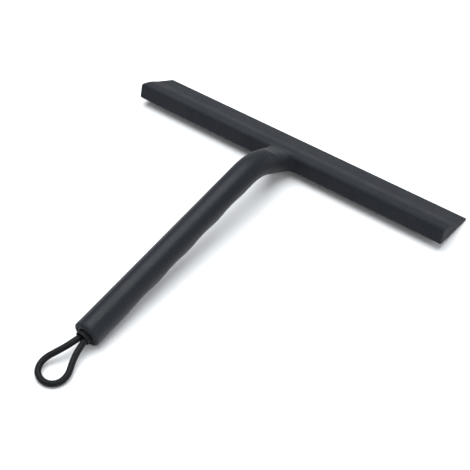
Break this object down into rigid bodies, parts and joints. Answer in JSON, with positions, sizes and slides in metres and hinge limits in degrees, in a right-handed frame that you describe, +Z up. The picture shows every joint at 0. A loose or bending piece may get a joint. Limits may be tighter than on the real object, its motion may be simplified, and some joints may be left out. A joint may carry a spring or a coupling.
{
  "type": "window cleaning squeegee",
  "caption": "T-shaped window squeegee: wedge-shaped soft head with a thin wiping lip, bent neck, round grip with finger grooves, and a cord hanging loop.",
  "frame": {"origin": "on the table, under the middle of the box round the squeegee without its loop; the squeegee lies on its lip and the end of its handle", "axes": "+X along the head, +Y from the handle towards the wiping lip, +Z up"},
  "size_m": [0.2504, 0.2643, 0.0352],
  "materials": {
    "silicone_head": "matte charcoal-black silicone with a fine moulded grain",
    "silicone_grip": "matte charcoal-black silicone with a fine moulded grain",
    "steel": "plain rolled stainless steel",
    "core_nylon": "moulded nylon",
    "plug_plastic": "moulded black plastic, finely textured",
    "ferrule_black": "black-coated crimp barrel, satin",
    "loop_cord": "smooth round black cord, slight sheen"
  },
  "bodies": {
    "squeegee": {"squeegee_head": "silicone_head", "head_spine": "steel", "spine_rivet_rear": "steel", "spine_rivet_front": "steel", "core_rod": "steel", "handle_core": "core_nylon", "handle_sleeve": "silicone_grip", "end_plug": "plug_plastic", "loop_ferrule": "ferrule_black"},
    "loop": {"hang_loop": "loop_cord"}
  },
  "joints": [
    {"name": "loop_swing", "type": "hinge", "parent": "squeegee", "child": "loop", "pos_m": [0, -0.1154, 0.0082], "axis": [1, 0, 0], "range_deg": [-55, 55]}
  ]
}
